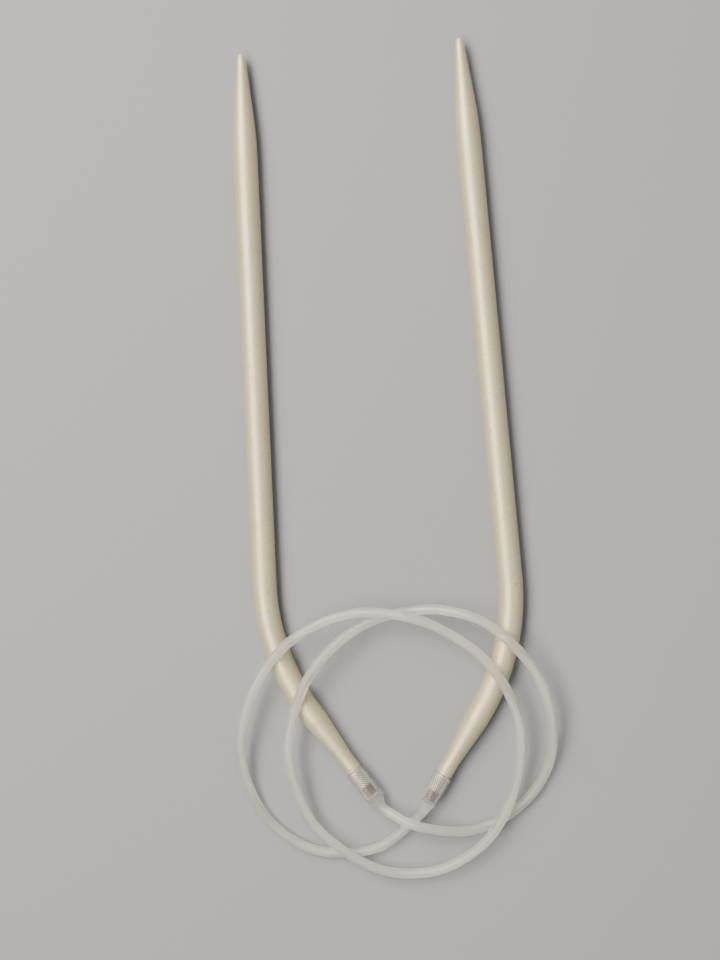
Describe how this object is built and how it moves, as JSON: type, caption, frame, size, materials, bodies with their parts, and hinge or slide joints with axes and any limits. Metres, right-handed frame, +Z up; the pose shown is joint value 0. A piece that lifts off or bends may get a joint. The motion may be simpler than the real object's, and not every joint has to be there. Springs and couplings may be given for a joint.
{
  "type": "circular knitting needle",
  "caption": "Circular knitting needle: bent grey aluminium points joined by a clear nylon cord through moulded end sockets, its cord coiled over the points.",
  "frame": {"origin": "on the surface that the needle lies on, under the middle of the box that holds the two points and their sockets", "axes": "+Y towards the tips of the points, +Z up from the surface, +X to the right with the tips pointing away"},
  "size_m": [0.0603, 0.1545, 0.0094],
  "materials": {
    "point_finish": "satin pearl-grey coating",
    "bare_aluminium": "bare, ribbed",
    "socket_nylon": "clear to milky, moulded",
    "cord_nylon": "clear to milky, smooth"
  },
  "bodies": {
    "cord": {"cord": "cord_nylon"},
    "left_needle": {"left_point": "point_finish", "left_stud": "bare_aluminium", "left_socket": "socket_nylon"},
    "right_needle": {"right_point": "point_finish", "right_stud": "bare_aluminium", "right_socket": "socket_nylon"}
  },
  "joints": [
    {"name": "left_flex", "type": "hinge", "parent": "cord", "child": "left_needle", "pos_m": [0.00152, -0.0699, 0.00225], "axis": [0, 0, 1], "range_deg": [-6.5, 14], "stiffness_Nm_per_rad": 0.03},
    {"name": "right_flex", "type": "hinge", "parent": "cord", "child": "right_needle", "pos_m": [0.00845, -0.07075, 0.00225], "axis": [0, 0, -1], "range_deg": [-6.5, 14], "stiffness_Nm_per_rad": 0.03}
  ]
}
